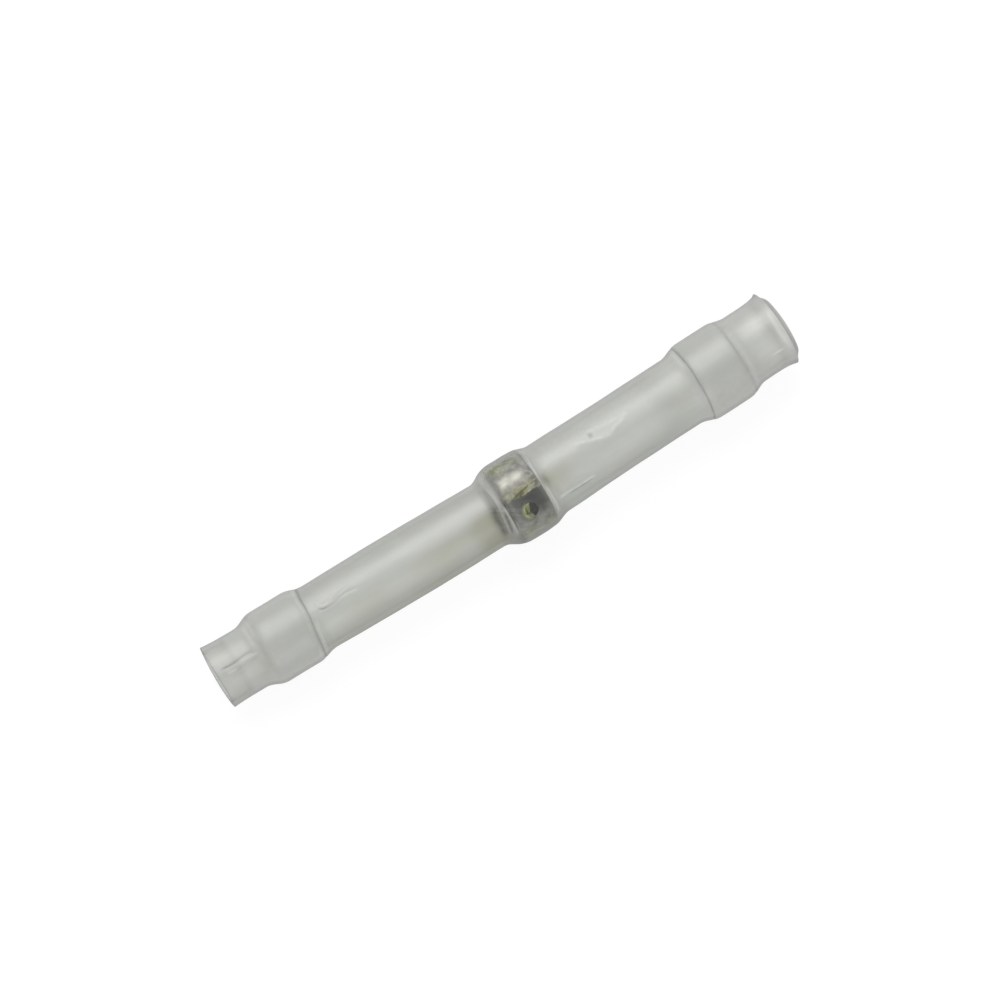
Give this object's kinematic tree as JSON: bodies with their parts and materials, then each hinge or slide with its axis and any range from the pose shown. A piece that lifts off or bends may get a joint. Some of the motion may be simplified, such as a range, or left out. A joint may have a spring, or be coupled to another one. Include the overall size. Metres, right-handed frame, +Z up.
{
  "type": "solder sleeve",
  "caption": "Translucent heat-shrink tube drawn down over a central solder ring and a sealing ring near each end, for joining a wire pushed in from each side.",
  "frame": {"origin": "on the solder ring's axis, halfway between the two mouths, within 0.2 mm of the middle of the sleeve's box", "axes": "+X along the sleeve, towards the wider end; +Y towards the side to which both arms bend; +Z up, as it lies on a table"},
  "size_m": [0.0421, 0.0058, 0.0056],
  "materials": {
    "sleeve_tube": "translucent, satin, slightly milky",
    "sealing_ring": "milky hot-melt plastic",
    "solder": "dull tin-lead grey",
    "flux": "waxy yellow-green"
  },
  "bodies": {
    "root": {"heat_shrink_sleeve": "sleeve_tube", "sealing_ring_left": "sealing_ring", "sealing_ring_right": "sealing_ring", "solder_ring": "solder", "flux_lining": "flux"}
  },
  "joints": []
}
